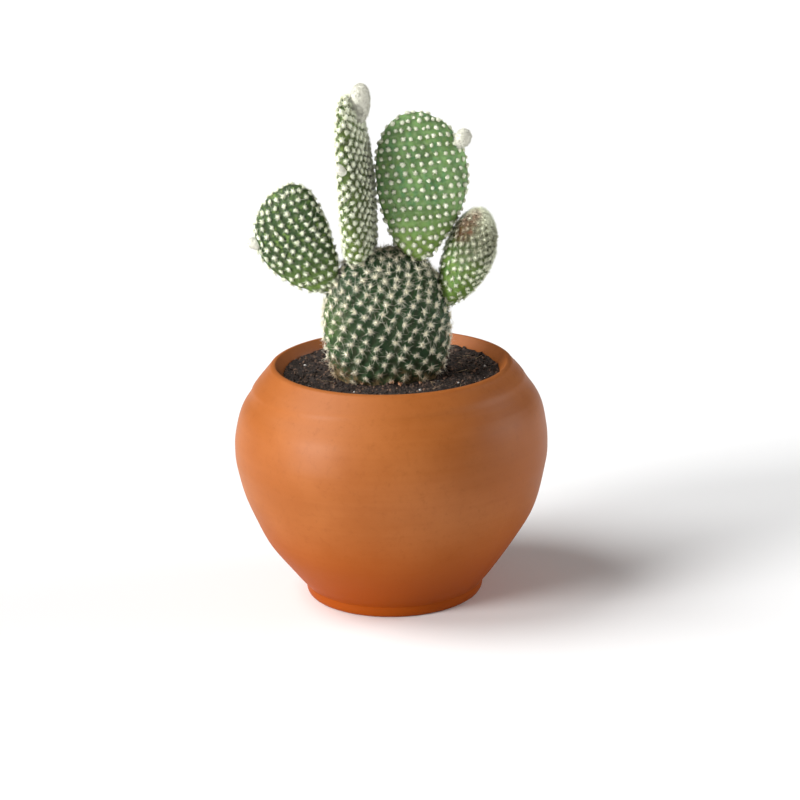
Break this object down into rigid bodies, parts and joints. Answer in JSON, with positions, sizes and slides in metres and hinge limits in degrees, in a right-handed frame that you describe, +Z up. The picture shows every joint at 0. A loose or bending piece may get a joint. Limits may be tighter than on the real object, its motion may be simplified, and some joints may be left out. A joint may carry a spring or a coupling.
{
  "type": "potted paddle cactus",
  "caption": "Bunny-ear paddle cactus with bristle tufts and woolly buds, rooted in soil in a round-bellied terracotta pot with a rolled lip.",
  "frame": {"origin": "on the surface the pot stands on, on the pot's axis", "axes": "+Z up along the pot's axis, +Y to the back as in the picture, +X to the right"},
  "size_m": [0.14, 0.14, 0.2319],
  "materials": {
    "terracotta": "unglazed fired clay with fine throwing lines",
    "potting_soil": "dark crumbly peat with white grains",
    "old_pad_skin": "dark bluish green skin, brown and corky at the soil",
    "grown_pad_skin": "mid green satin skin",
    "large_pad_skin": "fresh green satin skin, yellower at its foot",
    "young_pad_skin": "bright green skin, rust brown near the tip",
    "cream_wool": "dense soft cream bristles"
  },
  "bodies": {
    "root": {"pot": "terracotta", "soil": "potting_soil", "main_pad": "old_pad_skin", "left_pad": "grown_pad_skin", "tall_pad": "grown_pad_skin", "large_pad": "large_pad_skin", "right_pad": "young_pad_skin", "tall_pad_tip_bud": "cream_wool", "tall_pad_side_bud": "cream_wool", "large_pad_bud": "cream_wool", "left_pad_bud": "cream_wool"}
  },
  "joints": []
}
